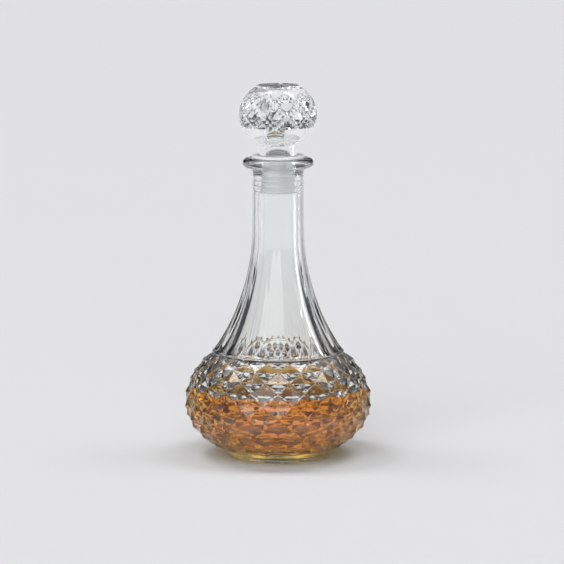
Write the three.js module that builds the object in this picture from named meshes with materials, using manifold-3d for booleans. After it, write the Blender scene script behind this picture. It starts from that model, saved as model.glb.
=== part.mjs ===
// A cut-glass whiskey decanter: a squat diamond-cut belly on a low foot, a tall fluted neck with a rolled lip,
// a cut ball stopper held by a ribbed push-in seal, and the whiskey that half fills the belly.
// Millimetres, +Z up, origin under the middle of the foot, front towards -Y.
import * as THREE from "three";
import { mergeVertices } from "three/addons/utils/BufferGeometryUtils.js";
import Module from "manifold-3d";

// Clearances
const SEAT_GAP = 0.3; // where one piece rests on another
const FIT_GAP = 0.3; // round the ribs in the bore, round the plug in its sleeve, round the liquid

// Foot
const FOOT_HEIGHT = 7.5;
const FOOT_TOP_RADIUS = 44.5;
const HEEL_RADIUS = 39.0;
const HEEL_HEIGHT = 1.9;
const REST_OUTER_RADIUS = 36.0; // the flat ring that the decanter stands on
const REST_INNER_RADIUS = 31.0;
const UNDERSIDE_RISE = 2.6; // the hollow under the foot

// Belly, measured in the bottoms of its cuts
const BELLY_RADIUS = 69.6;
const BELLY_LOW_RADIUS = 50.0; // lowest row of crossings
const BELLY_LOW_RISE = 3.0; // from the foot's top edge to that row
const BELLY_LOWER_HEIGHT = 30.5; // from that row to the widest level
const BELLY_UPPER_HEIGHT = 38.7; // from the widest level to the shoulder
const SHOULDER_RADIUS = 49.1;
const DIAMONDS = 20; // around the belly; the neck has as many flutes
const DIAMOND_LEVELS = 9; // steps from the lowest row of crossings to the shoulder
const DIAMOND_DEPTH = 2.6; // from a cut's bottom to a diamond's point

// Neck
const RING_LIFT = 0.7; // the plain ring between the diamonds and the flutes
const RING_RADIUS = 50.1;
const RING_HEIGHT = 1.6;
const RING_STEP = 0.6;
const FLARE_RADIUS = 48.9;
const FLARE_HEIGHT = 87.4;
const NECK_RADIUS = 19.9; // where the flare ends
const NECK_TOP_RADIUS = 19.2;
const NECK_STRAIGHT_HEIGHT = 47.5;
const FLUTE_DEPTH_SHARE = 0.027; // a flute's depth for each millimetre of the neck's radius there
const FLUTE_FADE_HEIGHT = 14.0; // over which the flutes run out under the lip

// Lip
const LIP_RADIUS = 27.0;
const LIP_ROLL_RADIUS = 3.6;
const LIP_UNDERCUT_HEIGHT = 4.8; // from the neck's top to the underside of the roll
const BORE_RADIUS = 13.6;
const MOUTH_RADIUS = 15.2;
const MOUTH_DEPTH = 2.2;

// Inside
const BELLY_WALL = 5.0; // under the cuts
const FLOOR_THICKNESS = 9.0; // over the hollow under the foot
const FLOOR_CORNER_RADIUS = 9.0;
const WHISKEY_HEIGHT = 41.9; // from the inner floor to its surface

// Seal
const SEAL_FLANGE_RADIUS = 20.0;
const SEAL_FLANGE_THICKNESS = 1.8;
const SEAL_SLEEVE_RADIUS = 12.0;
const SEAL_SLEEVE_WALL = 1.5;
const SEAL_LENGTH = 26.4; // of the sleeve below the flange
const SEAL_RIBS = 4;
const SEAL_RIB_PITCH = 4.2;
const SEAL_RIB_THICKNESS = 1.2;
const SEAL_RIB_ROOT_THICKNESS = 1.8;

// Stopper
const PLUG_LENGTH = 25.0; // below the stem
const PLUG_END_CHAMFER = 1.0;
const STEM_RADIUS = 14.8;
const STEM_HEIGHT = 8.9;
const BALL_RADIUS = 29.6;
const BALL_HALF_HEIGHT = 25.5;
const BALL_CUTS = 10; // wide diamonds around the ball
const HATCH = 4; // small diamonds along each side of a wide one
const BALL_WIDE_CUT_DEPTH = 1.3;
const BALL_FINE_CUT_DEPTH = 0.6;
const BALL_LEVEL_ANGLE = THREE.MathUtils.degToRad(5.12); // between two rows of small crossings
const BALL_LEVELS_BELOW = 4;
const BALL_LEVELS_ABOVE = 8;
const BALL_ARCH_DEPTH = 1.0; // of the hollows that close the pattern towards the stem
const BALL_TURN = THREE.MathUtils.degToRad(13); // how far the pattern stands round from the front
const CROWN_SEAT_RADIUS = 18.4; // where the ball ends under the flat disc on its top
const CROWN_RADIUS = 16.2;
const CROWN_HEIGHT = 2.2;
const CROWN_CHAMFER = 0.4;

// How finely round forms are drawn
const COARSE_STEPS = 2 * DIAMONDS;
const FINE_STEPS = 4 * DIAMONDS;
const BALL_STEPS = 2 * BALL_CUTS * HATCH;

// Heights that follow
const lowRowZ = FOOT_HEIGHT + BELLY_LOW_RISE;
const widestZ = lowRowZ + BELLY_LOWER_HEIGHT;
const shoulderZ = widestZ + BELLY_UPPER_HEIGHT;
const ringZ = shoulderZ + RING_LIFT;
const flareZ = ringZ + RING_HEIGHT + RING_STEP;
const neckZ = flareZ + FLARE_HEIGHT;
const neckTopZ = neckZ + NECK_STRAIGHT_HEIGHT;
const lipZ = neckTopZ + LIP_UNDERCUT_HEIGHT + LIP_ROLL_RADIUS;
const lipTopZ = lipZ + LIP_ROLL_RADIUS;
const floorZ = UNDERSIDE_RISE + FLOOR_THICKNESS;
const whiskeyZ = floorZ + WHISKEY_HEIGHT;
const flangeZ = lipTopZ + SEAT_GAP;
const stemZ = flangeZ + SEAL_FLANGE_THICKNESS + SEAT_GAP;

// Materials, one for each finish
const clearGlass = new THREE.MeshStandardMaterial({
  name: "clear_glass",
  color: 0xe6ecee,
  roughness: 0.03,
  metalness: 0,
  transparent: true,
  opacity: 0.35,
});
const amberWhiskey = new THREE.MeshStandardMaterial({
  name: "amber_whiskey",
  color: 0xc8640f,
  roughness: 0.05,
  metalness: 0,
  transparent: true,
  opacity: 0.75,
});
const milkySeal = new THREE.MeshStandardMaterial({
  name: "milky_seal",
  color: 0xdfe3e8,
  roughness: 0.45,
  metalness: 0,
});

// Points round the axis, anticlockwise from the front. at(step) gives a point's radius and height.
function ring(steps, at, turn = 0) {
  return Array.from({ length: steps }, (_, step) => {
    const azimuth = turn - Math.PI / 2 + (2 * Math.PI * step) / steps;
    const { x: radius, y: height } = at(step);
    return new THREE.Vector3(radius * Math.cos(azimuth), radius * Math.sin(azimuth), height);
  });
}

function circle(steps, radius, height, turn = 0) {
  return ring(steps, () => new THREE.Vector2(radius, height), turn);
}

function axisDistance(point) {
  return Math.hypot(point.x, point.y);
}

// The skin between a ring and the next one up, as triples of points. Each four-sided cell folds along the
// diagonal that lies deeper, so that a fold follows the bottom of a cut. One ring may have twice the other's steps.
function band(lower, upper) {
  const triples = [];
  const steps = Math.min(lower.length, upper.length);
  for (let step = 0; step < steps; step += 1) {
    const next = (step + 1) % steps;
    if (lower.length === upper.length) {
      const [a, b, c, d] = [lower[step], lower[next], upper[next], upper[step]];
      const risingIsDeeper = axisDistance(a) + axisDistance(c) <= axisDistance(b) + axisDistance(d);
      triples.push(...(risingIsDeeper ? [[a, b, c], [a, c, d]] : [[a, b, d], [b, c, d]]));
    } else if (lower.length < upper.length) {
      const [a, b] = [lower[step], lower[next]];
      const [c, middle, d] = [upper[2 * next], upper[2 * step + 1], upper[2 * step]];
      triples.push([a, middle, d], [a, b, middle], [b, c, middle]);
    } else {
      const [a, middle, b] = [lower[2 * step], lower[2 * step + 1], lower[2 * next]];
      const [c, d] = [upper[next], upper[step]];
      triples.push([a, middle, d], [middle, c, d], [middle, b, c]);
    }
  }
  return triples;
}

// A closed body over rings listed from its underside round to its top, closed by a fan at each end.
function loft(rings, firstCentre, lastCentre) {
  const triples = [];
  const first = rings[0];
  const last = rings[rings.length - 1];
  first.forEach((point, step) => {
    triples.push([firstCentre, first[(step + 1) % first.length], point]);
  });
  for (let level = 0; level + 1 < rings.length; level += 1) {
    triples.push(...band(rings[level], rings[level + 1]));
  }
  last.forEach((point, step) => {
    triples.push([lastCentre, point, last[(step + 1) % last.length]]);
  });
  return new THREE.BufferGeometry().setFromPoints(triples.flat());
}

// A body of revolution about Z. The profile's points have their radius in x and their height in y, and run
// anticlockwise round the solid: outwards along its underside, up its outside, back to the axis or to the start.
function revolve(profile, steps) {
  return new THREE.LatheGeometry(profile, steps).rotateX(Math.PI / 2);
}

const wasm = await Module();
wasm.setup();

function toSolid(geometry) {
  const bare = geometry.clone();
  bare.deleteAttribute("normal");
  bare.deleteAttribute("uv");
  const merged = mergeVertices(bare, 1e-3);
  const vertProperties = merged.attributes.position.array;
  const triVerts = new Uint32Array(merged.index.array);
  return new wasm.Manifold(new wasm.Mesh({ numProp: 3, vertProperties, triVerts }));
}

function toGeometry(solid) {
  const { vertProperties, triVerts } = solid.getMesh();
  const geometry = new THREE.BufferGeometry();
  geometry.setAttribute("position", new THREE.BufferAttribute(vertProperties, 3));
  geometry.setIndex(new THREE.BufferAttribute(triVerts, 1));
  return geometry;
}

function toMesh(name, geometry, material) {
  const flat = geometry.index ? geometry.toNonIndexed() : geometry;
  flat.computeVertexNormals();
  const mesh = new THREE.Mesh(flat, material);
  mesh.name = name;
  return mesh;
}

// Half the height of the ellipse that is widest at the belly's radius and passes the given radius at that rise.
function ellipseHalfHeight(rise, radius) {
  return rise / Math.sqrt(1 - (radius / BELLY_RADIUS) ** 2);
}

const lowerHalfHeight = ellipseHalfHeight(BELLY_LOWER_HEIGHT, BELLY_LOW_RADIUS);
const upperHalfHeight = ellipseHalfHeight(BELLY_UPPER_HEIGHT, SHOULDER_RADIUS);

// The belly's curve at a wall inside the bottoms of the cuts, from one height up to another.
function bellyCurve(wall, fromZ, toZ) {
  const radius = BELLY_RADIUS - wall;
  const lower = lowerHalfHeight - wall;
  const upper = upperHalfHeight - wall;
  const start = Math.asin((fromZ - widestZ) / lower);
  const path = new THREE.CurvePath();
  if (toZ <= widestZ) {
    path.add(new THREE.EllipseCurve(0, widestZ, radius, lower, start, Math.asin((toZ - widestZ) / lower)));
    return path;
  }
  path.add(new THREE.EllipseCurve(0, widestZ, radius, lower, start, 0));
  path.add(new THREE.EllipseCurve(0, widestZ, radius, upper, 0, Math.asin((toZ - widestZ) / upper)));
  return path;
}

// The trumpet curve of the neck, for its outside and its bore alike.
function flareCurve(startRadius, startZ, endRadius, endZ) {
  const spread = startRadius - endRadius;
  const rise = endZ - startZ;
  return new THREE.CubicBezierCurve(
    new THREE.Vector2(startRadius, startZ),
    new THREE.Vector2(endRadius + 0.555 * spread, startZ + 0.2 * rise),
    new THREE.Vector2(endRadius + 0.024 * spread, startZ + 0.6 * rise),
    new THREE.Vector2(endRadius, endZ),
  );
}

function footRings() {
  const profile = [
    [REST_INNER_RADIUS, 0],
    [REST_OUTER_RADIUS, 0],
    [HEEL_RADIUS, HEEL_HEIGHT],
    [FOOT_TOP_RADIUS, FOOT_HEIGHT],
  ];
  return profile.map(([radius, height]) => circle(COARSE_STEPS, radius, height));
}

// Rows of crossings at even steps along the belly's curve. In every row crossings and diamond points take turns,
// and the rows are staggered. The diamonds over the highest row stop at the shoulder and stay plain.
function bellyRings() {
  const levels = bellyCurve(0, lowRowZ, shoulderZ).getSpacedPoints(DIAMOND_LEVELS);
  return levels.map((crossing, level) =>
    ring(COARSE_STEPS, (step) => {
      const isPoint = (step + level) % 2 === 1 && level < DIAMOND_LEVELS;
      return new THREE.Vector2(crossing.x + (isPoint ? DIAMOND_DEPTH : 0), crossing.y);
    }),
  );
}

// A ring of the neck: round at each ridge between two flutes, and hollowed between the ridges.
function flutedRing(radius, height) {
  const stepsInFlute = FINE_STEPS / DIAMONDS;
  const fade = Math.min(1, (neckTopZ - height) / FLUTE_FADE_HEIGHT);
  const depth = FLUTE_DEPTH_SHARE * radius * fade;
  return ring(FINE_STEPS, (step) => {
    const across = (step % stepsInFlute) / stepsInFlute;
    return new THREE.Vector2(radius - depth * 4 * across * (1 - across), height);
  });
}

function neckRings() {
  const flare = flareCurve(FLARE_RADIUS, flareZ, NECK_RADIUS, neckZ).getSpacedPoints(10);
  const straightSteps = 4;
  const straight = Array.from({ length: straightSteps }, (_, index) => {
    const along = (index + 1) / straightSteps;
    const radius = THREE.MathUtils.lerp(NECK_RADIUS, NECK_TOP_RADIUS, along);
    return new THREE.Vector2(radius, neckZ + NECK_STRAIGHT_HEIGHT * along);
  });
  return [
    circle(FINE_STEPS, RING_RADIUS, ringZ),
    circle(FINE_STEPS, RING_RADIUS, ringZ + RING_HEIGHT),
    ...[...flare, ...straight].map((point) => flutedRing(point.x, point.y)),
  ];
}

function lipRings() {
  const rollCentre = LIP_RADIUS - LIP_ROLL_RADIUS;
  const undercut = circle(
    FINE_STEPS,
    THREE.MathUtils.lerp(NECK_TOP_RADIUS, rollCentre, 0.3),
    neckTopZ + LIP_UNDERCUT_HEIGHT / 2,
  );
  const roll = new THREE.EllipseCurve(
    rollCentre, lipZ, LIP_ROLL_RADIUS, LIP_ROLL_RADIUS, -Math.PI / 2, Math.PI / 2,
  );
  return [undercut, ...roll.getPoints(6).map((point) => circle(FINE_STEPS, point.x, point.y))];
}

// The rounded inner floor and the belly's inside up to a height, with a gap to the glass when asked for.
function insideProfile(gap, topZ, curveSteps) {
  const wall = BELLY_WALL + gap;
  const cornerTopZ = floorZ + FLOOR_CORNER_RADIUS;
  const side = bellyCurve(wall, cornerTopZ, topZ).getSpacedPoints(curveSteps);
  const corner = new THREE.QuadraticBezierCurve(
    new THREE.Vector2(side[0].x - 2 * FLOOR_CORNER_RADIUS, floorZ + gap),
    new THREE.Vector2(side[0].x - 0.6 * FLOOR_CORNER_RADIUS, floorZ + gap),
    side[0],
  );
  return [new THREE.Vector2(0, floorZ + gap), ...corner.getPoints(4), ...side.slice(1)];
}

function cavityGeometry() {
  const above = 2 * MOUTH_DEPTH;
  const belly = insideProfile(0, shoulderZ, 9);
  const shoulder = belly[belly.length - 1];
  const flare = flareCurve(shoulder.x, shoulder.y, BORE_RADIUS, neckZ).getSpacedPoints(9);
  return revolve(
    [
      ...belly,
      ...flare.slice(1),
      new THREE.Vector2(BORE_RADIUS, lipTopZ - MOUTH_DEPTH),
      new THREE.Vector2(THREE.MathUtils.lerp(BORE_RADIUS, MOUTH_RADIUS, 0.3), lipTopZ - MOUTH_DEPTH / 3),
      new THREE.Vector2(MOUTH_RADIUS, lipTopZ),
      new THREE.Vector2(MOUTH_RADIUS, lipTopZ + above),
      new THREE.Vector2(0, lipTopZ + above),
    ],
    COARSE_STEPS,
  );
}

function bottle() {
  const outside = loft(
    [...footRings(), ...bellyRings(), ...neckRings(), ...lipRings()],
    new THREE.Vector3(0, 0, UNDERSIDE_RISE),
    new THREE.Vector3(0, 0, lipTopZ),
  );
  const glass = toSolid(outside).subtract(toSolid(cavityGeometry()));
  return toMesh("bottle", toGeometry(glass), clearGlass);
}

function whiskey() {
  const profile = insideProfile(FIT_GAP, whiskeyZ, 6);
  const surface = new THREE.Vector2(0, whiskeyZ);
  return toMesh("whiskey", revolve([...profile, surface], COARSE_STEPS), amberWhiskey);
}

// A sleeve that grips the plug, with thin ribs that press on the bore and a flange that sits on the lip.
function stopperSeal() {
  const holeRadius = SEAL_SLEEVE_RADIUS - SEAL_SLEEVE_WALL;
  const ribRadius = BORE_RADIUS - FIT_GAP;
  const bottomZ = flangeZ - SEAL_LENGTH;
  const profile = [new THREE.Vector2(holeRadius, bottomZ)];
  for (let rib = 0; rib < SEAL_RIBS; rib += 1) {
    const ribZ = bottomZ + SEAL_RIB_ROOT_THICKNESS / 2 + rib * SEAL_RIB_PITCH;
    profile.push(
      new THREE.Vector2(SEAL_SLEEVE_RADIUS, ribZ - SEAL_RIB_ROOT_THICKNESS / 2),
      new THREE.Vector2(ribRadius, ribZ - SEAL_RIB_THICKNESS / 2),
      new THREE.Vector2(ribRadius, ribZ + SEAL_RIB_THICKNESS / 2),
      new THREE.Vector2(SEAL_SLEEVE_RADIUS, ribZ + SEAL_RIB_ROOT_THICKNESS / 2),
    );
  }
  profile.push(
    new THREE.Vector2(SEAL_SLEEVE_RADIUS, flangeZ),
    new THREE.Vector2(SEAL_FLANGE_RADIUS, flangeZ),
    new THREE.Vector2(SEAL_FLANGE_RADIUS, flangeZ + SEAL_FLANGE_THICKNESS),
    new THREE.Vector2(holeRadius, flangeZ + SEAL_FLANGE_THICKNESS),
    profile[0].clone(),
  );
  return toMesh("stopper_seal", revolve(profile, COARSE_STEPS), milkySeal);
}

function ballPoint(centreZ, angle) {
  return new THREE.Vector2(BALL_RADIUS * Math.cos(angle), centreZ + BALL_HALF_HEIGHT * Math.sin(angle));
}

// A row of small crossings and points on the ball. Every crossing that lies on one of the wide cuts is deeper.
function hatchedRing(centreZ, level) {
  const surface = ballPoint(centreZ, level * BALL_LEVEL_ANGLE);
  return ring(
    BALL_STEPS,
    (step) => {
      if ((step + level + BALL_STEPS) % 2 === 1) return surface;
      const onWideCut = [step + level, step - level].some((line) => line % (2 * HATCH) === 0);
      const depth = onWideCut ? BALL_WIDE_CUT_DEPTH : BALL_FINE_CUT_DEPTH;
      return new THREE.Vector2(surface.x - depth, surface.y);
    },
    BALL_TURN,
  );
}

// A row of the hollow arches under the pattern, each below one of its lowest wide crossings.
function archedRing(centreZ, angle, depth) {
  const surface = ballPoint(centreZ, angle);
  return ring(
    BALL_STEPS,
    (step) => {
      const across = (step % (2 * HATCH)) / (2 * HATCH);
      return new THREE.Vector2(surface.x - depth * Math.sin(Math.PI * across) ** 2, surface.y);
    },
    BALL_TURN,
  );
}

function stopperGlass() {
  const plugRadius = SEAL_SLEEVE_RADIUS - SEAL_SLEEVE_WALL - FIT_GAP;
  const plugZ = stemZ - PLUG_LENGTH;
  const stemAngle = -Math.acos(STEM_RADIUS / BALL_RADIUS);
  const crownAngle = Math.acos(CROWN_SEAT_RADIUS / BALL_RADIUS);
  const centreZ = stemZ + STEM_HEIGHT - BALL_HALF_HEIGHT * Math.sin(stemAngle);
  const lowestAngle = -BALL_LEVELS_BELOW * BALL_LEVEL_ANGLE;
  const crownZ = ballPoint(centreZ, crownAngle).y;
  const rings = [
    circle(BALL_STEPS / 2, plugRadius - PLUG_END_CHAMFER, plugZ, BALL_TURN),
    circle(BALL_STEPS / 2, plugRadius, plugZ + PLUG_END_CHAMFER, BALL_TURN),
    circle(BALL_STEPS / 2, plugRadius, stemZ, BALL_TURN),
    circle(BALL_STEPS, STEM_RADIUS, stemZ, BALL_TURN),
    circle(BALL_STEPS, STEM_RADIUS, stemZ + STEM_HEIGHT, BALL_TURN),
  ];
  const archSteps = 5;
  for (let row = 1; row < archSteps; row += 1) {
    const along = row / archSteps;
    const angle = THREE.MathUtils.lerp(stemAngle, lowestAngle, along);
    rings.push(archedRing(centreZ, angle, BALL_ARCH_DEPTH * Math.sin(Math.PI * along)));
  }
  for (let level = -BALL_LEVELS_BELOW; level <= BALL_LEVELS_ABOVE; level += 1) {
    rings.push(hatchedRing(centreZ, level));
  }
  rings.push(
    circle(BALL_STEPS, CROWN_SEAT_RADIUS, crownZ, BALL_TURN),
    circle(BALL_STEPS, CROWN_RADIUS, crownZ, BALL_TURN),
    circle(BALL_STEPS, CROWN_RADIUS, crownZ + CROWN_HEIGHT - CROWN_CHAMFER, BALL_TURN),
    circle(BALL_STEPS, CROWN_RADIUS - CROWN_CHAMFER, crownZ + CROWN_HEIGHT, BALL_TURN),
  );
  const skin = loft(rings, new THREE.Vector3(0, 0, plugZ), new THREE.Vector3(0, 0, crownZ + CROWN_HEIGHT));
  return toMesh("stopper_glass", skin, clearGlass);
}

const stopper = new THREE.Group();
stopper.add(stopperSeal(), stopperGlass());

const decanter = new THREE.Group();
decanter.add(bottle(), whiskey(), stopper);

export default decanter;
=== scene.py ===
"""The looks of a cut-glass whiskey decanter: its glass, its whiskey, its stopper and the stopper's seal.

Every piece is modelled about the decanter's axis as it is made: drawn up ring by ring from a circle,
fluted, cut into diamonds, and closed. Sizes are in metres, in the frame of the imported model.
"""

import sys

import logging
import math
from dataclasses import dataclass, field
from enum import Enum
from typing import Callable, Sequence

import bmesh
import bpy
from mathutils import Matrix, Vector


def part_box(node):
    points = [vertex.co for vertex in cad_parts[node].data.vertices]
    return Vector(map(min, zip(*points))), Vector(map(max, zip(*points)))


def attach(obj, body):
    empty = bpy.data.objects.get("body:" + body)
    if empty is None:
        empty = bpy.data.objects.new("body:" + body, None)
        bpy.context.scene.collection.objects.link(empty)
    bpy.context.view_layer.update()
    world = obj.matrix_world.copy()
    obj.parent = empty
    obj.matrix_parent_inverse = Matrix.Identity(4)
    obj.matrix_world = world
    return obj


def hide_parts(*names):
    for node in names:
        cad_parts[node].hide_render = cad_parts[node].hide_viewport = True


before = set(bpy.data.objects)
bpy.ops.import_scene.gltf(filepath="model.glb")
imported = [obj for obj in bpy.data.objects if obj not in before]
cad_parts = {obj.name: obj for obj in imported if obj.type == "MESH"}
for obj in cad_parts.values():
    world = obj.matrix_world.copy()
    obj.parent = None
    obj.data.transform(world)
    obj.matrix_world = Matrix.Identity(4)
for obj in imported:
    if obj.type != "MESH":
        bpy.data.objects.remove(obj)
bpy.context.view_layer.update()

LOG = logging.getLogger("decanter")
MM = 0.001
NEAR = 0.01 * MM  # heights closer than this are one level
FINE_STEPS = 200  # steps along a curve before it is cut into even ones

Profile = list[tuple[float, float]]  # points of an outline, each a radius and a height


class Shade(Enum):
    """How a run of faces takes the light."""

    FLAT = "flat"
    SMOOTH = "smooth"


class Select(Enum):
    """What a selection in edit mode is made of."""

    POINTS = (True, False, False)
    EDGES = (False, True, False)
    FACES = (False, False, True)


# Outlines

def arc(centre: tuple[float, float], radii: tuple[float, float], start: float, end: float,
        steps: int) -> Profile:
    """Points along an arc of an ellipse.

    Args:
        centre: Radius and height of the ellipse's centre.
        radii: Half its width and half its height.
        start: First angle in degrees, from the outward direction, upward positive.
        end: Last angle in degrees.
        steps: Steps between the two ends.

    Returns:
        The points, both ends included.
    """
    points = []
    for step in range(steps + 1):
        angle = math.radians(start + (end - start) * step / steps)
        points.append((centre[0] + radii[0] * math.cos(angle), centre[1] + radii[1] * math.sin(angle)))
    return points


def bezier(a: tuple[float, float], b: tuple[float, float], c: tuple[float, float], d: tuple[float, float],
           steps: int) -> Profile:
    """Points along a cubic curve.

    Args:
        a: Its start.
        b: The handle at its start.
        c: The handle at its end.
        d: Its end.
        steps: Steps between the two ends.

    Returns:
        The points, both ends included.
    """
    points = []
    for step in range(steps + 1):
        t = step / steps
        weights = ((1 - t) ** 3, 3 * t * (1 - t) ** 2, 3 * t * t * (1 - t), t ** 3)
        points.append(tuple(sum(w * p[i] for w, p in zip(weights, (a, b, c, d))) for i in (0, 1)))
    return points


def even(points: Profile, steps: int) -> Profile:
    """The same curve with its points at even distances along it.

    Args:
        points: A finely drawn curve.
        steps: Steps between the two ends.

    Returns:
        The points, both ends included.
    """
    lengths = [0.0]
    for (r0, z0), (r1, z1) in zip(points, points[1:]):
        lengths.append(lengths[-1] + math.hypot(r1 - r0, z1 - z0))
    found = []
    index = 0
    for step in range(steps + 1):
        aim = lengths[-1] * step / steps
        while index < len(points) - 2 and lengths[index + 1] < aim:
            index += 1
        share = (aim - lengths[index]) / (lengths[index + 1] - lengths[index])
        (r0, z0), (r1, z1) = points[index], points[index + 1]
        found.append((r0 + (r1 - r0) * share, z0 + (z1 - z0) * share))
    return found


# Steps at the bench

def deselect_all() -> None:
    """Leaves nothing selected in object mode."""
    bpy.ops.object.select_all(action="DESELECT")


def pick(pieces: Sequence[bpy.types.Object]) -> None:
    """Selects these pieces alone and makes the first the active one.

    Args:
        pieces: Pieces in object mode.
    """
    deselect_all()
    for piece in pieces:
        piece.select_set(True)
    bpy.context.view_layer.objects.active = pieces[0]


class Lathe:
    """One piece on the bench, drawn up ring by ring about the Z axis in edit mode."""

    def __init__(self, name: str, sides: int, start: tuple[float, float], turn: float = 0.0) -> None:
        """Adds the first ring and opens it in edit mode, all selected.

        Args:
            name: The piece's name.
            sides: Points round the axis.
            start: Radius and height of the first ring.
            turn: How far its first point stands round from the front, in radians.
        """
        deselect_all()
        bpy.ops.mesh.primitive_circle_add(vertices=sides, radius=start[0], fill_type="NOTHING")
        self.piece = bpy.context.object
        self.piece.name = self.piece.data.name = name
        quarter = turn - math.pi / 2
        for vertex in self.piece.data.vertices:
            azimuth = math.atan2(vertex.co.y, vertex.co.x) + quarter
            vertex.co = (start[0] * math.cos(azimuth), start[0] * math.sin(azimuth), start[1])
        bpy.ops.object.mode_set(mode="EDIT")
        bpy.context.tool_settings.mesh_select_mode = Select.POINTS.value
        bpy.ops.mesh.select_all(action="SELECT")
        self.at = start

    @classmethod
    def reopen(cls, piece: bpy.types.Object) -> "Lathe":
        """Puts a piece back on the bench.

        Args:
            piece: The active piece, in object mode.

        Returns:
            The bench, with the piece open in edit mode.
        """
        lathe = cls.__new__(cls)
        lathe.piece = piece
        bpy.ops.object.mode_set(mode="EDIT")
        return lathe

    def draw(self, points: Profile, turn: float = 0.0) -> None:
        """Extrudes the selected ring through further rings.

        Args:
            points: Radius and height of each new ring.
            turn: A turn of each new ring against the last, in radians.
        """
        for radius, height in points:
            bpy.ops.mesh.extrude_edges_move(TRANSFORM_OT_translate={"value": (0, 0, height - self.at[1])})
            share = radius / self.at[0]
            centre = (0.0, 0.0, height)
            bpy.ops.transform.resize(value=(share, share, 1), center_override=centre)
            if turn:
                bpy.ops.transform.rotate(value=turn, orient_axis="Z", center_override=centre)
            self.at = (radius, height)

    def close(self) -> None:
        """Draws the selected ring together on the axis as a fan of faces."""
        height = self.at[1]
        bpy.ops.mesh.extrude_edges_move(TRANSFORM_OT_translate={"value": (0, 0, 0)})
        bpy.ops.transform.resize(value=(0, 0, 1), center_override=(0.0, 0.0, height))
        bpy.ops.mesh.merge(type="CENTER")

    def deselect(self, kind: Select) -> bmesh.types.BMesh:
        """Leaves nothing selected.

        Args:
            kind: What the next selection is made of.

        Returns:
            The open mesh.
        """
        bpy.context.tool_settings.mesh_select_mode = kind.value
        bpy.ops.mesh.select_all(action="DESELECT")
        return bmesh.from_edit_mesh(self.piece.data)

    def select(self, test: Callable[[Vector], bool]) -> None:
        """Selects the points that pass a test, and the edges and faces between them.

        Args:
            test: Takes a point's place and says whether it is wanted.
        """
        mesh = self.deselect(Select.POINTS)
        for vertex in mesh.verts:
            if test(vertex.co):
                vertex.select_set(True)
        mesh.select_flush(True)
        bmesh.update_edit_mesh(self.piece.data)

    def select_edges(self, test: Callable[[bmesh.types.BMEdge], bool]) -> None:
        """Selects the edges that pass a test.

        Args:
            test: Takes an edge and says whether it is wanted.
        """
        mesh = self.deselect(Select.EDGES)
        for edge in mesh.edges:
            if test(edge):
                edge.select_set(True)
        bmesh.update_edit_mesh(self.piece.data)

    def select_faces(self, test: Callable[[bmesh.types.BMFace], bool]) -> None:
        """Selects the faces that pass a test.

        Args:
            test: Takes a face and says whether it is wanted.
        """
        mesh = self.deselect(Select.FACES)
        for face in mesh.faces:
            if test(face):
                face.select_set(True)
        bmesh.update_edit_mesh(self.piece.data)

    def swell(self, height: float, share: float) -> None:
        """Moves the selected points out from the axis.

        Args:
            height: Their height.
            share: What their distance from the axis is multiplied by.
        """
        bpy.ops.transform.resize(value=(share, share, 1), center_override=(0.0, 0.0, height))

    def select_level(self, height: float) -> None:
        """Selects every point at a height.

        Args:
            height: The height.
        """
        self.select(lambda place: abs(place.z - height) < NEAR)

    def split_level_edges(self) -> None:
        """Cuts every face into triangles and gives each level edge a point in its middle."""
        self.cut_to_triangles()
        self.select_edges(lambda edge: abs(edge.verts[0].co.z - edge.verts[1].co.z) < NEAR)
        bpy.ops.mesh.subdivide(number_cuts=1)
        self.cut_to_triangles()

    def cut_to_triangles(self) -> None:
        """Cuts every face into triangles across its shorter diagonals."""
        bpy.ops.mesh.select_all(action="SELECT")
        bpy.ops.mesh.quads_convert_to_tris(quad_method="SHORTEST_DIAGONAL")

    def face_outwards(self) -> None:
        """Selects the whole piece and turns every face outwards."""
        bpy.ops.mesh.select_all(action="SELECT")
        bpy.ops.mesh.normals_make_consistent(inside=False)

    def shade(self, shade: Shade) -> None:
        """Shades the selected faces.

        Args:
            shade: Flat or smooth.
        """
        if shade is Shade.FLAT:
            bpy.ops.mesh.faces_shade_flat()
        else:
            bpy.ops.mesh.faces_shade_smooth()

    def mark_sharp(self, degrees: float) -> None:
        """Keeps every edge crisp where the faces turn by more than an angle.

        Args:
            degrees: The angle.
        """
        self.deselect(Select.EDGES)
        bpy.ops.mesh.edges_select_sharp(sharpness=math.radians(degrees))
        bpy.ops.mesh.mark_sharp()

    def leave(self) -> bpy.types.Object:
        """Goes back to object mode.

        Returns:
            The piece.
        """
        bpy.ops.object.mode_set(mode="OBJECT")
        return self.piece


def azimuth_step(place: Vector, steps: int, turn: float = 0.0) -> int:
    """Which of the even steps round the axis a point lies on, counted from the front.

    Args:
        place: The point.
        steps: Steps all the way round.
        turn: How far step 0 stands round from the front, in radians.

    Returns:
        The step's number, from 0.
    """
    azimuth = math.atan2(place.y, place.x) + math.pi / 2 - turn
    return round(azimuth / (2 * math.pi) * steps) % steps


def bevel(piece: bpy.types.Object, width: float, degrees: float) -> None:
    """Takes the keenness off a piece's edges.

    Args:
        piece: The piece, in object mode.
        width: The bevel's width.
        degrees: Only edges that turn by more than this are bevelled.
    """
    pick([piece])
    modifier = piece.modifiers.new("soft_edges", "BEVEL")
    modifier.width = width
    modifier.segments = 1
    modifier.limit_method = "ANGLE"
    modifier.angle_limit = math.radians(degrees)
    modifier.use_clamp_overlap = True
    bpy.ops.object.modifier_apply(modifier=modifier.name)


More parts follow.
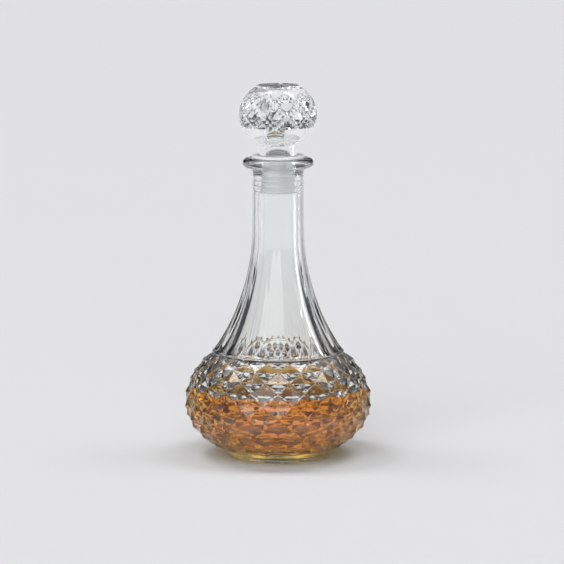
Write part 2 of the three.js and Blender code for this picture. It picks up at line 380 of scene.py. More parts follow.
def join_and_bridge(pieces: Sequence[bpy.types.Object], seams: Sequence[tuple[float, float]]) -> Lathe:
    """Joins open shells into one piece and bridges the seams between them.

    Args:
        pieces: Shells in object mode. The first gives its name.
        seams: For each seam, the heights between which its two open rings lie.

    Returns:
        The joined piece, open in edit mode.
    """
    pick(pieces)
    bpy.ops.object.join()
    lathe = Lathe.reopen(pieces[0])
    for low, high in seams:
        lathe.select_edges(
            lambda edge: edge.is_boundary and all(low <= vertex.co.z <= high for vertex in edge.verts)
        )
        bpy.ops.mesh.bridge_edge_loops()
    bpy.ops.mesh.select_all(action="SELECT")
    bpy.ops.mesh.remove_doubles(threshold=NEAR / 2)
    lathe.face_outwards()
    return lathe


# Finishes

class Nodes:
    """A material's node tree, built from one Principled shader."""

    def __init__(self, name: str) -> None:
        """Starts a material.

        Args:
            name: The material's name.
        """
        self.material = bpy.data.materials.new(name)
        self.material.use_nodes = True
        self.tree = self.material.node_tree
        self.shader = self.tree.nodes["Principled BSDF"]
        self.output = self.tree.nodes["Material Output"]

    def add(self, kind: str, **values: object) -> bpy.types.Node:
        """Adds a node.

        Args:
            kind: Its type.
            **values: Settings, or sockets with their spaces written as underscores.

        Returns:
            The node.
        """
        node = self.tree.nodes.new(kind)
        for key, value in values.items():
            if hasattr(node, key):
                setattr(node, key, value)
            else:
                node.inputs[key.replace("_", " ")].default_value = value
        return node

    def link(self, source: bpy.types.NodeSocket, target: bpy.types.NodeSocket) -> None:
        """Joins two sockets."""
        self.tree.links.new(source, target)

    def set(self, **values: object) -> None:
        """Sets sockets of the shader, with their spaces written as underscores."""
        for key, value in values.items():
            self.shader.inputs[key.replace("_", " ")].default_value = value

    def wavy(self, scale: float, strength: float, distance: float) -> None:
        """Gives the surface a faint waviness.

        Args:
            scale: Waves to the metre.
            strength: The bump's strength.
            distance: The bump's height in metres.
        """
        place = self.add("ShaderNodeTexCoord")
        noise = self.add("ShaderNodeTexNoise", Scale=scale, Detail=2.0, Roughness=0.5)
        bump = self.add("ShaderNodeBump", Strength=strength, Distance=distance)
        self.link(place.outputs["Object"], noise.inputs["Vector"])
        self.link(noise.outputs["Fac"], bump.inputs["Height"])
        self.link(bump.outputs["Normal"], self.shader.inputs["Normal"])


@dataclass(frozen=True)
class ClearGlass:
    """Heavy clear glass, fire-polished, with the faint waviness of pressed and cut work."""

    name: str = "clear_glass"
    colour: tuple[float, float, float] = (0.97, 0.985, 0.98)
    ior: float = 1.52
    clarity: float = 1.0
    roughness: float = 0.015
    wave_scale: float = 130.0
    wave_height: float = 0.35 * MM
    wave_strength: float = 0.12

    def material(self) -> bpy.types.Material:
        """Makes the material.

        Returns:
            The material.
        """
        nodes = Nodes(self.name)
        nodes.set(Base_Color=(*self.colour, 1), Roughness=self.roughness, IOR=self.ior)
        nodes.set(Transmission_Weight=self.clarity)
        nodes.wavy(self.wave_scale, self.wave_strength, self.wave_height)
        return nodes.material


@dataclass(frozen=True)
class AmberWhiskey:
    """Clear liquid that takes up blue and green light over the way through it."""

    name: str = "amber_whiskey"
    ior: float = 1.36
    colour: tuple[float, float, float] = (0.98, 0.775, 0.0)
    density: float = 46.0

    def material(self) -> bpy.types.Material:
        """Makes the material.

        Returns:
            The material.
        """
        nodes = Nodes(self.name)
        nodes.set(Base_Color=(1, 1, 1, 1), Roughness=0.0, IOR=self.ior, Transmission_Weight=1.0)
        tint = nodes.add("ShaderNodeVolumeAbsorption", Density=self.density)
        tint.inputs["Color"].default_value = (*self.colour, 1)
        nodes.link(tint.outputs["Volume"], nodes.output.inputs["Volume"])
        return nodes.material


@dataclass(frozen=True)
class MilkySeal:
    """Soft polyethylene: milky, slightly see-through, with a dull sheen."""

    name: str = "milky_seal"
    colour: tuple[float, float, float] = (0.98, 0.985, 0.99)
    roughness: float = 0.42
    ior: float = 1.5
    milkiness: float = 0.35
    scatter: float = 1.5 * MM
    clarity: float = 0.04
    wave_scale: float = 260.0
    wave_height: float = 0.2 * MM
    wave_strength: float = 0.15

    def material(self) -> bpy.types.Material:
        """Makes the material.

        Returns:
            The material.
        """
        nodes = Nodes(self.name)
        nodes.set(Base_Color=(*self.colour, 1), Roughness=self.roughness, IOR=self.ior)
        nodes.set(Subsurface_Weight=self.milkiness, Subsurface_Radius=(1, 1, 1), Subsurface_Scale=self.scatter)
        nodes.set(Transmission_Weight=self.clarity)
        nodes.wavy(self.wave_scale, self.wave_strength, self.wave_height)
        return nodes.material


@dataclass(frozen=True)
class PaleFloor:
    """A matt pale tabletop."""

    name: str = "pale_floor"
    colour: tuple[float, float, float] = (0.74, 0.74, 0.75)

    def material(self) -> bpy.types.Material:
        """Makes the material.

        Returns:
            The material.
        """
        nodes = Nodes(self.name)
        nodes.set(Base_Color=(*self.colour, 1), Roughness=0.7, Specular_IOR_Level=0.2)
        return nodes.material


# The bottle

@dataclass
class Bottle:
    """The decanter's one piece of glass, from its foot to its lip, outside and inside."""

    glass: bpy.types.Material
    body: str = "decanter"
    node: str = "bottle"
    rest_outer: float = 36.0 * MM
    rest_inner: float = 31.0 * MM
    underside_rise: float = 2.6 * MM
    heel: tuple[float, float] = (39.0 * MM, 1.9 * MM)
    foot_top: tuple[float, float] = (44.5 * MM, 7.5 * MM)
    belly_radius: float = 69.6 * MM
    low_row: tuple[float, float] = (50.0 * MM, 10.5 * MM)
    shoulder: tuple[float, float] = (49.1 * MM, 79.7 * MM)
    widest: float = 41.0 * MM
    diamonds: int = 20
    rows: int = 9
    diamond_depth: float = 2.6 * MM
    groove_bevel: float = 0.28 * MM
    groove_bevel_angle: float = 12.0
    ring: tuple[float, float] = (50.1 * MM, 80.4 * MM)
    ring_height: float = 1.6 * MM
    flare_foot: tuple[float, float] = (48.9 * MM, 82.6 * MM)
    flare_top: tuple[float, float] = (19.9 * MM, 170.0 * MM)
    neck_top: tuple[float, float] = (19.2 * MM, 217.5 * MM)
    flute_share: float = 0.027
    flute_fade: float = 14.0 * MM
    steps_in_flute: int = 6
    flare_steps: int = 26
    straight_steps: int = 8
    lip_roll: tuple[float, float] = (23.4 * MM, 225.9 * MM)
    lip_roll_radius: float = 3.6 * MM
    bore: float = 13.6 * MM
    mouth: float = 15.2 * MM
    wall: float = 5.0 * MM
    floor_height: float = 11.6 * MM
    floor_corner: float = 9.0 * MM
    inside_steps: int = 26
    crisp_angle: float = 38.0
    piece: bpy.types.Object = field(init=False)

    @property
    def sides(self) -> int:
        """Points round the foot and the neck."""
        return self.diamonds * self.steps_in_flute

    def half_heights(self, wall: float) -> tuple[float, float]:
        """Half the heights of the belly's lower and upper ellipse.

        Args:
            wall: How far inside the bottoms of the cuts.

        Returns:
            The lower and the upper half height.
        """
        lower = (self.widest - self.low_row[1]) / math.sqrt(1 - (self.low_row[0] / self.belly_radius) ** 2)
        upper = (self.shoulder[1] - self.widest) / math.sqrt(1 - (self.shoulder[0] / self.belly_radius) ** 2)
        return lower - wall, upper - wall

    def belly_curve(self, wall: float, low: float, high: float, steps: int) -> Profile:
        """The belly's outline between two heights.

        Args:
            wall: How far inside the bottoms of the cuts.
            low: The lower height.
            high: The upper height.
            steps: Even steps along the outline.

        Returns:
            The points, from the lower to the upper.
        """
        lower, upper = self.half_heights(wall)
        centre = (0.0, self.widest)
        radius = self.belly_radius - wall
        first = math.degrees(math.asin((low - self.widest) / lower))
        rise = high - self.widest
        last = math.degrees(math.asin(rise / (upper if rise > 0 else lower)))
        if rise <= 0:
            return even(arc(centre, (radius, lower), first, last, FINE_STEPS), steps)
        below = arc(centre, (radius, lower), first, 0, FINE_STEPS)
        return even(below + arc(centre, (radius, upper), 0, last, FINE_STEPS)[1:], steps)

    def inside(self, gap: float, top: float, steps: int) -> Profile:
        """The rounded inner floor and the belly's inside.

        Args:
            gap: How far inside the glass.
            top: Height where the outline ends.
            steps: Even steps up the side.

        Returns:
            The points from the edge of the flat inner floor up to the top.
        """
        side = self.belly_curve(self.wall + gap, self.floor_height + self.floor_corner, top, steps)
        edge, floor = side[0][0], self.floor_height + gap
        a, b = (edge - 2 * self.floor_corner, floor), (edge - 0.6 * self.floor_corner, floor)
        corner = bezier(a, tuple(a[i] + (b[i] - a[i]) * 2 / 3 for i in (0, 1)),
                        tuple(side[0][i] + (b[i] - side[0][i]) * 2 / 3 for i in (0, 1)), side[0], 8)
        return corner + side[1:]

    def foot(self) -> bpy.types.Object:
        """The low round foot and the hollow under it."""
        lathe = Lathe("foot", self.sides, self.foot_top)
        lathe.draw([
            (self.foot_top[0] - 1.2 * MM, self.foot_top[1] - 1.4 * MM),
            (self.heel[0] + 1.3 * MM, self.heel[1] + 1.9 * MM),
            self.heel,
            (self.heel[0] - 1.1 * MM, self.heel[1] - 1.3 * MM),
            (self.rest_outer, 0.0),
            (self.rest_inner, 0.0),
            (self.rest_inner - 2.0 * MM, 0.9 * MM),
            (self.rest_inner - 8.0 * MM, self.underside_rise - 0.3 * MM),
            (self.rest_inner / 2, self.underside_rise),
        ])
        lathe.close()
        return lathe.leave()

    def belly(self) -> bpy.types.Object:
        """The diamond-cut belly: staggered rows of cut crossings with a raised point between each two."""
        levels = self.belly_curve(0.0, self.low_row[1], self.shoulder[1], self.rows)
        lathe = Lathe("belly", self.diamonds, levels[0])
        lathe.draw(levels[1:], turn=math.pi / self.diamonds)
        lathe.split_level_edges()
        midpoint_share = math.cos(math.pi / self.diamonds)
        for radius, height in levels[:-1]:
            limit = radius * (1 + midpoint_share) / 2
            lathe.select(lambda place: abs(place.z - height) < NEAR and place.xy.length < limit)
            lathe.swell(height, (radius + self.diamond_depth) / (radius * midpoint_share))
        piece = lathe.leave()
        bevel(piece, self.groove_bevel, self.groove_bevel_angle)
        return piece

    def flare_curve(self, start: tuple[float, float], end: tuple[float, float], steps: int) -> Profile:
        """The neck's trumpet curve, for its outside and its bore alike.

        Args:
            start: Radius and height of its wide end.
            end: Radius and height of its narrow end.
            steps: Even steps along it.

        Returns:
            The points, from the wide end up.
        """
        spread, rise = start[0] - end[0], end[1] - start[1]
        low = (end[0] + 0.555 * spread, start[1] + 0.2 * rise)
        high = (end[0] + 0.024 * spread, start[1] + 0.6 * rise)
        return even(bezier(start, low, high, end, FINE_STEPS), steps)

    def neck(self) -> bpy.types.Object:
        """The plain ring, the fluted neck, the lip, the mouth, and the inside down to the inner floor."""
        flare = self.flare_curve(self.flare_foot, self.flare_top, self.flare_steps)
        straight = even([self.flare_top, self.neck_top], self.straight_steps)[1:]
        lathe = Lathe("neck", self.sides, self.ring)
        lathe.draw([
            (self.ring[0] + 0.25 * MM, self.ring[1] + 0.4 * MM),
            (self.ring[0] + 0.25 * MM, self.ring[1] + self.ring_height - 0.5 * MM),
            (self.ring[0] - 0.25 * MM, self.ring[1] + self.ring_height),
        ])
        lathe.draw(flare + straight)
        for radius, height in flare + straight:
            fade = min(1.0, (self.neck_top[1] - height) / self.flute_fade)
            for step in range(1, self.steps_in_flute // 2 + 1):
                across = step / self.steps_in_flute
                mirrored = self.steps_in_flute - step
                lathe.select(
                    lambda place: abs(place.z - height) < NEAR
                    and azimuth_step(place, self.sides) % self.steps_in_flute in (step, mirrored)
                )
                lathe.swell(height, 1 - self.flute_share * fade * 4 * across * (1 - across))
        lathe.select_level(self.neck_top[1])
        lathe.at = self.neck_top
        roll, tube = self.lip_roll, self.lip_roll_radius
        under = bezier(
            self.neck_top,
            (self.neck_top[0] + 0.1 * MM, self.neck_top[1] + 2.6 * MM),
            (roll[0] - 2.4 * MM, roll[1] - tube - 0.6 * MM),
            (roll[0], roll[1] - tube),
            5,
        )
        mouth_round = 2.2 * MM
        lip_top = roll[1] + tube
        lathe.draw(under[1:-1] + arc(roll, (tube, tube), -90, 90, 12))
        lathe.draw([(self.mouth + 0.3 * MM, lip_top)])
        lathe.draw(bezier(
            (self.mouth, lip_top - 0.1 * MM),
            (self.bore + 0.6 * MM, lip_top - 0.4 * MM),
            (self.bore, lip_top - 1.0 * MM),
            (self.bore, lip_top - mouth_round),
            4,
        ))
        belly = self.inside(0.0, self.shoulder[1], self.inside_steps)
        bore_foot = (self.bore, self.flare_top[1])
        bore = even([(self.bore, lip_top - mouth_round), bore_foot], 5)[1:-1]
        flare_inside = self.flare_curve(belly[-1], bore_foot, self.flare_steps)
        lathe.draw(bore + flare_inside[::-1])
        lathe.draw(belly[-2::-1])
        lathe.close()
        return lathe.leave()

    def build(self) -> None:
        """Models the piece, dresses it and sets it on its body."""
        foot, belly, neck = self.foot(), self.belly(), self.neck()
        low_seam = (self.foot_top[1] - 1 * MM, self.low_row[1] + 1 * MM)
        high_seam = (self.shoulder[1] - 1 * MM, self.ring[1] + 1 * MM)
        lathe = join_and_bridge([neck, foot, belly], [low_seam, high_seam])
        lathe.shade(Shade.SMOOTH)
        lathe.select(
            lambda place: self.foot_top[1] - NEAR <= place.z <= self.ring[1] + NEAR
            and place.xy.length > self.inner_radius(place.z) + 1 * MM
        )
        lathe.shade(Shade.FLAT)
        lathe.mark_sharp(self.crisp_angle)
        self.piece = lathe.leave()
        self.piece.name = self.piece.data.name = "bottle_glass"
        self.piece.data.materials.append(self.glass)
        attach(self.piece, self.body)
        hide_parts(self.node)
        LOG.info("%s: %d faces", self.piece.name, len(self.piece.data.polygons))

    def inner_radius(self, height: float) -> float:
        """The radius of the belly's inside at a height.

        Args:
            height: The height.

        Returns:
            The radius, or 0 above and below the belly's inside.
        """
        lower, upper = self.half_heights(self.wall)
        share = (height - self.widest) / (upper if height > self.widest else lower)
        return (self.belly_radius - self.wall) * math.sqrt(max(0.0, 1 - share * share))


@dataclass
class Whiskey:
    """The liquid in the belly. It reaches a little into the glass, so that no air lies between them."""

    bottle: Bottle
    liquid: bpy.types.Material
    body: str = "decanter"
    node: str = "whiskey"
    overlap: float = 0.25 * MM
    meniscus: float = 0.9 * MM
    sides: int = 144
    side_steps: int = 24
    crisp_angle: float = 40.0

    def build(self) -> None:
        """Models the piece, dresses it and sets it on its body."""
        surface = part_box(self.node)[1].z
        side = self.bottle.inside(-self.overlap, surface, self.side_steps)
        lathe = Lathe("whiskey_liquid", self.sides, side[0])
        lathe.draw(side[1:])
        edge = side[-1][0]
        lathe.draw([
            (edge - 0.5 * self.meniscus, surface - 0.15 * self.meniscus),
            (edge - 1.4 * self.meniscus, surface - 0.5 * self.meniscus),
            (edge - 3.0 * self.meniscus, surface - 0.62 * self.meniscus),
        ])
        lathe.close()
        lathe.select_level(side[0][1])
        lathe.at = side[0]
        lathe.close()
        lathe.face_outwards()
        lathe.shade(Shade.SMOOTH)
        lathe.mark_sharp(self.crisp_angle)
        piece = lathe.leave()
        piece.data.materials.append(self.liquid)
        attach(piece, self.body)
        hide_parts(self.node)
        LOG.info("%s: %d faces", piece.name, len(piece.data.polygons))


# The stopper

@dataclass
class Stopper:
    """The cut-glass ball with its stem and plug, and the seal round the plug."""

    glass: bpy.types.Material
    # Frosted glass: the wide cuts' finish, and a painted highlight on the arches' ridges.
    ground_glass_and_ridge_highlight: bpy.types.Material
    plastic: bpy.types.Material
    body: str = "stopper"
    plug_chamfer: float = 1.0 * MM
    stem_radius: float = 14.8 * MM
    stem_height: float = 8.9 * MM
    ball: tuple[float, float] = (29.6 * MM, 25.5 * MM)
    cuts: int = 10
    hatch: int = 4
    wide_cut: float = 1.6 * MM
    fine_cut: float = 0.12 * MM
    level_angle: float = 5.12
    levels_below: int = 4
    levels_above: int = 8
    arch_depth: float = 1.5 * MM
    steps_in_arch: int = 16
    arch_rows: int = 14
    arch_margin: float = 1.5
    turn: float = math.radians(13)
    crown_margin: float = 1.2
    crown_seat: float = 18.4 * MM
    crown_radius: float = 16.2 * MM
    crown_height: float = 2.2 * MM
    glass_crisp_angle: float = 22.0
    sleeve: tuple[float, float] = (10.5 * MM, 12.0 * MM)
    flange_radius: float = 20.0 * MM
    flange_thickness: float = 1.8 * MM
    flange_lift: float = 0.3 * MM
    rib_count: int = 4
    rib_pitch: float = 4.2 * MM
    rib_thickness: float = 1.2 * MM
    rib_reach: float = 13.65 * MM
    seal_sides: int = 96
    seal_crisp_angle: float = 50.0

    @property
    def arch_sides(self) -> int:
        """Points round the arches."""
        return self.cuts * self.steps_in_arch

    def stem_foot(self) -> float:
        """The height where the stem stands on the flange."""
        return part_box("stopper_seal")[1].z + self.flange_lift

    def centre(self) -> float:
        """The height of the ball's widest level."""
        sink = math.sqrt(1 - (self.stem_radius / self.ball[0]) ** 2)
        return self.stem_foot() + self.stem_height + self.ball[1] * sink

    def ball_point(self, degrees: float) -> tuple[float, float]:
        """A point of the ball's outline.

        Args:
            degrees: Its angle above the widest level.

        Returns:
            Its radius and height.
        """
        angle = math.radians(degrees)
        return self.ball[0] * math.cos(angle), self.centre() + self.ball[1] * math.sin(angle)

    def lower(self) -> bpy.types.Object:
        """The plug, the stem and the plain arches on the ball's underside, up to the cut pattern."""
        plug_radius = self.sleeve[0] - 0.3 * MM
        plug_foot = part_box("stopper_glass")[0].z
        stem_foot = self.stem_foot()
        start = (plug_radius - self.plug_chamfer, plug_foot)
        lathe = Lathe("stopper_lower", self.arch_sides, start, self.turn)
        lathe.close()
        lathe.select(lambda place: place.xy.length > plug_radius / 2)
        lathe.at = start
        lathe.draw([
            (plug_radius, plug_foot + self.plug_chamfer),
            (plug_radius, stem_foot - 0.8 * MM),
            (plug_radius + 0.8 * MM, stem_foot),
            (self.stem_radius - 0.6 * MM, stem_foot),
            (self.stem_radius, stem_foot + 0.6 * MM),
            (self.stem_radius, stem_foot + self.stem_height * 0.5),
            (self.stem_radius, stem_foot + self.stem_height - 0.8 * MM),
        ])
        first = self.arch_margin - math.degrees(math.acos(self.stem_radius / self.ball[0]))
        last = -self.levels_below * self.level_angle
        rise = (last - first) / self.arch_rows
        rows = [self.ball_point(first + rise * row) for row in range(self.arch_rows + 1)]
        lathe.draw(rows)
        for row, (radius, height) in enumerate(rows[:-1]):
            up = row / self.arch_rows
            for step in range(1, self.steps_in_arch // 2 + 1):
                depth = self.scoop(up, 1 - 2 * step / self.steps_in_arch)
                lathe.select(
                    lambda place: abs(place.z - height) < NEAR
                    and self.arch_step(place) in (step, self.steps_in_arch - step)
                )
                lathe.swell(height, 1 - depth / radius)
        return lathe.leave()

    def arch_step(self, place: Vector) -> int:
        """Which step of its arch a point lies on, 0 at a ridge."""
        return azimuth_step(place, self.arch_sides, self.turn) % self.steps_in_arch

    def scoop(self, up: float, aside: float) -> float:
        """How deep an arch on the ball's underside is scooped. The scoop deepens over its lowest quarter.

        Args:
            up: How far up the arch, from 0 at its foot to 1 at its top.
            aside: How far from its middle line, from 0 to 1 at its ridges.

        Returns:
            The depth.
        """
        foot = min(1.0, 4 * up)
        edge = aside ** 2 + up ** 3
        return self.arch_depth * foot * max(0.0, 1 - edge)

    def pattern(self) -> bpy.types.Object:
        """The ball's cut band: wide diagonal cuts, and fine cross cuts inside each wide diamond."""
        steps = 2 * self.cuts * self.hatch
        around = self.cuts * self.hatch
        numbers = range(-self.levels_below, self.levels_above + 1)
        levels = [self.ball_point(number * self.level_angle) for number in numbers]
        parity = self.levels_below % 2
        start_turn = self.turn + parity * math.pi / around
        lathe = Lathe("stopper_pattern", around, levels[0], start_turn)
        lathe.draw(levels[1:], turn=math.pi / around)
        lathe.split_level_edges()
        midpoint_share = math.cos(math.pi / around)
        for number, (radius, height) in zip(numbers, levels):
            def step_of(place: Vector) -> int:
                """The step round the ball that a point of this level lies on."""
                return azimuth_step(place, steps, self.turn)

            def is_crossing(place: Vector) -> bool:
                """True where two cuts cross at this level."""
                return abs(place.z - height) < NEAR and (step_of(place) + number) % 2 == 0

            def is_wide(place: Vector) -> bool:
                """True where a wide cut runs through the crossing."""
                lines = (step_of(place) + number, step_of(place) - number)
                return any(line % (2 * self.hatch) == 0 for line in lines)

            lathe.select(lambda place: abs(place.z - height) < NEAR and not is_crossing(place))
            lathe.swell(height, 1 / midpoint_share)
            lathe.select(lambda place: is_crossing(place) and not is_wide(place))
            lathe.swell(height, 1 - self.fine_cut / radius)
            lathe.select(lambda place: is_crossing(place) and is_wide(place))
            lathe.swell(height, 1 - self.wide_cut / radius)
        return lathe.leave()

    def crown(self) -> bpy.types.Object:
        """The ball's top and the flat disc on it."""
        sides = 2 * self.cuts * self.hatch
        seat = math.degrees(math.acos(self.crown_seat / self.ball[0]))
        seat_height = self.ball_point(seat)[1]
        first = self.levels_above * self.level_angle + self.crown_margin
        lathe = Lathe("stopper_crown", sides, self.ball_point(first), self.turn)
        lathe.draw([self.ball_point(first + (seat - first) * step / 3) for step in (1, 2, 3)])
        top = seat_height + self.crown_height
        lathe.draw([
            (self.crown_radius + 0.2 * MM, seat_height + 0.1 * MM),
            (self.crown_radius, seat_height + 0.5 * MM),
            (self.crown_radius, top - 0.5 * MM),
            (self.crown_radius - 0.15 * MM, top - 0.15 * MM),
            (self.crown_radius - 0.5 * MM, top),
        ])
        lathe.close()
        return lathe.leave()

    def in_wide_cut(self, place: Vector, centre: float) -> bool:
        """Whether a point lies at the bottom of a wide cut.

        Args:
            place: A point of the cut band.
            centre: The height of the ball's widest level.

        Returns:
            True where the point is well inside the ball's outline.
        """
        rise = (place.z - centre) / self.ball[1]
        depth = self.ball[0] * math.sqrt(max(0.0, 1 - rise * rise)) - place.xy.length
        return depth > (self.wide_cut + self.fine_cut) / 2

    def is_ridge(self, face: bmesh.types.BMFace, low: float, high: float) -> bool:
        """Whether a face lies along a ridge between two arches.

        Args:
            face: A face of the stopper's glass.
            low: The height of the arches' feet.
            high: The height of their tops.

        Returns:
            True for a face beside a ridge.
        """
        beside = (0, 1, self.steps_in_arch - 1)
        return all(low < vertex.co.z < high and self.arch_step(vertex.co) in beside for vertex in face.verts)

    def grind_cuts_and_paint_ridge_highlight(self, lathe: Lathe, low: float, high: float) -> None:
        """Gives the wide cuts their frosted finish, and lays the same frosted glass on the arches' ridges as a
        painted highlight in place of the glints on their polished glass; shades them all flat.

        Args:
            lathe: The stopper's glass, open in edit mode.
            low: The height of the cut band's foot.
            high: The height of its top.
        """
        centre = self.centre()
        arch_foot = self.stem_foot() + self.stem_height - 0.5 * MM
        # The arches' ridges take the frosted glass as a painted highlight; the wide cuts take it as their
        # finish.
        lathe.select_faces(
            lambda face: self.is_ridge(face, arch_foot, low + NEAR)
            or (all(low - NEAR <= vertex.co.z <= high + NEAR for vertex in face.verts)
                and sum(self.in_wide_cut(vertex.co, centre) for vertex in face.verts) >= 2)
        )
        lathe.piece.active_material_index = 1
        bpy.ops.object.material_slot_assign()
        lathe.shade(Shade.FLAT)

    def build_glass(self) -> None:
        """Models the stopper's glass, dresses it and sets it on its body."""
        lower, pattern, crown = self.lower(), self.pattern(), self.crown()
        low = self.ball_point(-self.levels_below * self.level_angle)[1]
        high = self.ball_point(self.levels_above * self.level_angle)[1]
        gap = 0.7 * MM
        seams = [(low - gap, low + gap), (high - gap, high + gap)]
        lathe = join_and_bridge([lower, pattern, crown], seams)
        lathe.shade(Shade.SMOOTH)
        lathe.mark_sharp(self.glass_crisp_angle)
        for material in (self.glass, self.ground_glass_and_ridge_highlight):
            lathe.piece.data.materials.append(material)
        self.grind_cuts_and_paint_ridge_highlight(lathe, low, high)
        piece = lathe.leave()
        piece.name = piece.data.name = "stopper_cut_glass"
        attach(piece, self.body)
        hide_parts("stopper_glass")
        LOG.info("%s: %d faces", piece.name, len(piece.data.polygons))

    def build_seal(self) -> None:
        """Models the seal, dresses it and sets it on its body."""
        low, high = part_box("stopper_seal")
        bottom, flange_top = low.z, high.z
        flange_foot = flange_top - self.flange_thickness
        hole, sleeve = self.sleeve
        start = (hole, bottom + 0.3 * MM)
        lathe = Lathe("seal_sleeve", self.seal_sides, start)
        outline: Profile = [(hole + 0.3 * MM, bottom)]
        for rib in range(self.rib_count):
            middle = bottom + 0.9 * MM + rib * self.rib_pitch
            half = self.rib_thickness / 2
            outline += [
                (sleeve, middle - half - 0.3 * MM),
                (self.rib_reach - 0.25 * MM, middle - half),
                (self.rib_reach, middle - half + 0.3 * MM),
                (self.rib_reach, middle + half - 0.3 * MM),
                (self.rib_reach - 0.25 * MM, middle + half),
                (sleeve, middle + half + 0.3 * MM),
            ]
        rim = 0.35 * MM
        outline += [
            (sleeve, flange_foot),
            (self.flange_radius - rim, flange_foot),
            (self.flange_radius, flange_foot + rim),
            (self.flange_radius, flange_top - rim),
            (self.flange_radius - rim, flange_top),
            (hole + 0.3 * MM, flange_top),
            (hole, flange_top - 0.3 * MM),
        ]
        lathe.draw(outline)
        lathe.select_edges(lambda edge: edge.is_boundary)
        bpy.ops.mesh.bridge_edge_loops()
        lathe.face_outwards()
        lathe.shade(Shade.SMOOTH)
        lathe.mark_sharp(self.seal_crisp_angle)
        piece = lathe.leave()
        piece.data.materials.append(self.plastic)
        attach(piece, self.body)
        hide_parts("stopper_seal")
        LOG.info("%s: %d faces", piece.name, len(piece.data.polygons))


# The studio

@dataclass(frozen=True)
class SoftSun:
    """A broad soft lamp, far away."""

    name: str
    azimuth: float
    elevation: float
    strength: float
    width: float
    mirrored: bool = True

    def build(self) -> None:
        """Adds the lamp. Azimuth 0 shines from the front, 90 from the right."""
        light = bpy.data.lights.new(self.name, "SUN")
        light.energy = self.strength
        light.angle = math.radians(self.width)
        lamp = bpy.data.objects.new(self.name, light)
        bpy.context.scene.collection.objects.link(lamp)
        azimuth, elevation = math.radians(self.azimuth), math.radians(self.elevation)
        towards = Vector((
            math.sin(azimuth) * math.cos(elevation),
            -math.cos(azimuth) * math.cos(elevation),
            math.sin(elevation),
        ))
        lamp.rotation_mode = "QUATERNION"
        lamp.rotation_quaternion = towards.to_track_quat("Z", "Y")
        lamp.visible_glossy = self.mirrored


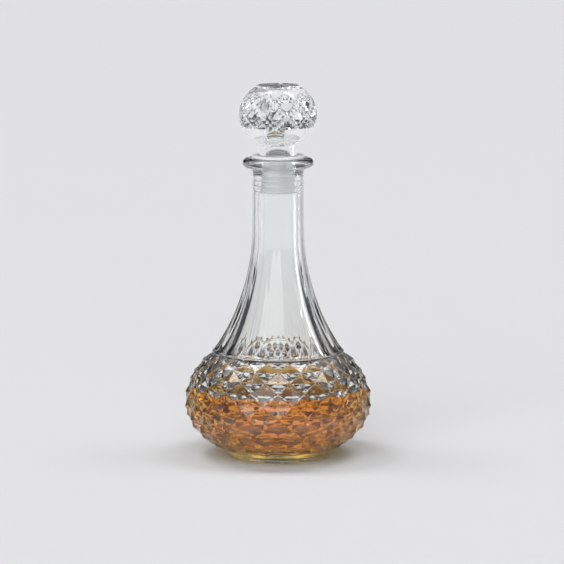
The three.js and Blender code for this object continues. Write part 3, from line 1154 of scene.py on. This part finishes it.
@dataclass
class Studio:
    """The floor, the light and the camera."""

    floor_radius: float = 30.0
    camera_distance: float = 2.5
    camera_height: float = 0.526
    camera_side: float = 3.0 * MM
    aim_height: float = 0.134
    focal_pixels: float = 3311.0
    picture_pixels: float = 564.0
    sensor: float = 36.0
    horizon: tuple[float, float, float] = (0.05, 0.05, 0.055)
    zenith: tuple[float, float, float] = (0.45, 0.45, 0.46)
    sky_ramp: tuple[float, float] = (0.25, 0.85)
    suns: tuple[SoftSun, ...] = (
        SoftSun("left_light", -105, 66, 0.8, 23),
        SoftSun("right_light", 98, 68, 0.7, 23),
        SoftSun("front_light", -15, 28, 2.1, 60, mirrored=False),
    )
    strip_place: tuple[float, float, float] = (0.60, 0.10, 0.34)
    strip_size: tuple[float, float] = (0.02, 0.62)
    strip_power: float = 1.8
    light_bounces: int = 32

    def build_floor(self) -> None:
        """Adds the floor, a wide round of pale matt board."""
        deselect_all()
        bpy.ops.mesh.primitive_circle_add(vertices=96, radius=self.floor_radius, fill_type="NGON")
        floor = bpy.context.object
        floor.name = floor.data.name = "studio_floor"
        floor.data.materials.append(PaleFloor().material())

    def build_world(self) -> None:
        """Sets the sky: dark all round at the horizon, pale overhead, alike from every side."""
        world = bpy.data.worlds.new("studio_world")
        bpy.context.scene.world = world
        world.use_nodes = True
        tree = world.node_tree
        place = tree.nodes.new("ShaderNodeTexCoord")
        split = tree.nodes.new("ShaderNodeSeparateXYZ")
        ramp = tree.nodes.new("ShaderNodeValToRGB")
        for stop, position, colour in zip(ramp.color_ramp.elements, self.sky_ramp, (self.horizon, self.zenith)):
            stop.position = position
            stop.color = (*colour, 1)
        background = tree.nodes["Background"]
        tree.links.new(place.outputs["Generated"], split.inputs["Vector"])
        tree.links.new(split.outputs["Z"], ramp.inputs["Fac"])
        tree.links.new(ramp.outputs["Color"], background.inputs["Color"])
        background.inputs["Strength"].default_value = 1.0

    def build_camera(self) -> None:
        """Sets the camera at the photograph's viewing angle."""
        data = bpy.data.cameras.new("camera")
        data.sensor_width = self.sensor
        data.lens = self.sensor * self.focal_pixels / self.picture_pixels
        camera = bpy.data.objects.new("camera", data)
        bpy.context.scene.collection.objects.link(camera)
        camera.location = (self.camera_side, -self.camera_distance, self.camera_height)
        aim = Vector((self.camera_side, 0.0, self.aim_height)) - camera.location
        camera.rotation_mode = "QUATERNION"
        camera.rotation_quaternion = aim.to_track_quat("-Z", "Y")
        bpy.context.scene.camera = camera

    def build_strip(self) -> None:
        """Adds the upright strip lamp that draws the long streak down the side of the neck."""
        light = bpy.data.lights.new("strip_light", "AREA")
        light.shape = "RECTANGLE"
        light.size, light.size_y = self.strip_size
        light.energy = self.strip_power
        lamp = bpy.data.objects.new("strip_light", light)
        bpy.context.scene.collection.objects.link(lamp)
        lamp.location = self.strip_place
        level = Vector((self.strip_place[0], self.strip_place[1], 0.0))
        lamp.rotation_mode = "QUATERNION"
        lamp.rotation_quaternion = level.to_track_quat("Z", "Y")
        lamp.visible_camera = False
        lamp.visible_diffuse = False

    def build(self) -> None:
        """Builds the whole studio."""
        scene = bpy.context.scene
        scene.view_settings.view_transform = "Standard"
        scene.cycles.max_bounces = self.light_bounces
        scene.cycles.transmission_bounces = self.light_bounces
        self.build_camera()
        self.build_floor()
        self.build_world()
        for sun in self.suns:
            sun.build()
        self.build_strip()


def main() -> None:
    """Builds the studio and the decanter, piece by piece."""
    logging.basicConfig(level=logging.INFO, format="%(name)s: %(message)s", stream=sys.stdout)
    Studio().build()
    glass = ClearGlass().material()
    bottle = Bottle(glass)
    bottle.build()
    Whiskey(bottle, AmberWhiskey().material()).build()
    polished = ClearGlass(name="ball_glass", roughness=0.03, wave_strength=0.1)
    # Frosted glass for the wide cuts, also laid on the arches' ridges as a painted highlight.
    ground_cuts_and_ridge_highlight = ClearGlass(name="ground_glass_and_ridge_highlight", clarity=0.45, roughness=0.4, wave_strength=0.0)
    stopper = Stopper(polished.material(), ground_cuts_and_ridge_highlight.material(), MilkySeal().material())
    stopper.build_glass()
    stopper.build_seal()


if __name__ == "__main__":
    main()
